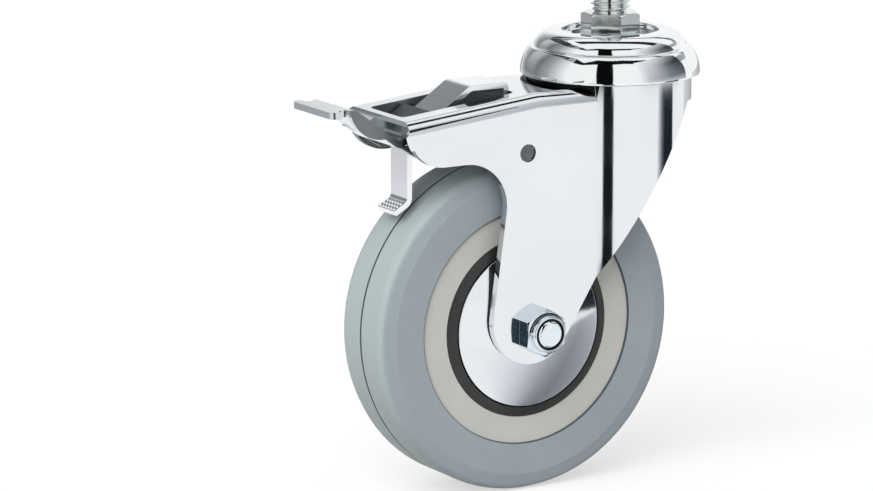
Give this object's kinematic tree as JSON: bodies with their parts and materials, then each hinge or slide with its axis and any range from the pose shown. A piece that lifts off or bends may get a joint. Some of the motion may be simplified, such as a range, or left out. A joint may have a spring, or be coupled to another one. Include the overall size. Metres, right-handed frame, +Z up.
{
  "type": "braked castor",
  "caption": "Swivel castor with threaded stem, pressed plated fork, grey tyre on a cream ball-bearing core, and a foot lever that presses a brake blade on the tread.",
  "frame": {"origin": "on the swivel axis, on top of the stem's hexagon, where the furniture seats", "axes": "+Z up along the stem, the wheel trails towards -X at rest, the axle runs along Y with the nut at -Y"},
  "size_m": [0.1292, 0.054, 0.1701],
  "materials": {
    "chrome": "bright chromed pressed steel",
    "zinc": "bright zinc plated steel",
    "plated_sheet": "polished plated steel sheet",
    "spring_steel": "plated spring steel",
    "bearing_steel": "ground bearing steel",
    "grey_tyre": "matt grey elastic rubber",
    "cream_core": "satin cream moulded plastic",
    "black_seal": "black moulded plastic"
  },
  "bodies": {
    "head": {"stem": "zinc", "swivel_cap": "chrome", "upper_balls": "bearing_steel", "lower_balls": "bearing_steel", "lower_cup": "zinc"},
    "swivel": {"fork": "plated_sheet", "brake_pin": "zinc", "axle_bolt": "zinc", "axle_nut": "zinc", "axle_spacer": "zinc", "axle_collar_near": "zinc", "axle_collar_far": "zinc", "thread_guard_near": "plated_sheet", "thread_guard_far": "plated_sheet", "bearing_inner_near": "bearing_steel", "bearing_inner_far": "bearing_steel"},
    "wheel": {"tyre": "grey_tyre", "wheel_core": "cream_core", "seal_ring_near": "black_seal", "seal_ring_far": "black_seal", "bearing_outer_near": "bearing_steel", "bearing_outer_far": "bearing_steel", "bearing_balls_near": "bearing_steel", "bearing_balls_far": "bearing_steel"},
    "pedal": {"brake_lever": "plated_sheet"},
    "blade": {"brake_blade": "spring_steel"}
  },
  "joints": [
    {"name": "swivel_turn", "type": "hinge", "parent": "head", "child": "swivel", "pos_m": [0, 0, -0.0194], "axis": [0, 0, 1], "continuous": true},
    {"name": "wheel_spin", "type": "hinge", "parent": "swivel", "child": "wheel", "pos_m": [-0.0362, 0, -0.0901], "axis": [0, 1, 0], "continuous": true},
    {"name": "brake_pedal", "type": "hinge", "parent": "swivel", "child": "pedal", "pos_m": [-0.04, 0, -0.0365], "axis": [0, -1, 0], "range_deg": [0, 5]},
    {"name": "brake_press", "type": "hinge", "parent": "swivel", "child": "blade", "pos_m": [-0.0406, 0, -0.02224], "axis": [0, -1, 0], "range_deg": [0, 3.3]}
  ],
  "couplings": [
    {"joint": "brake_press", "follows": "brake_pedal", "ratio": 0.66}
  ]
}
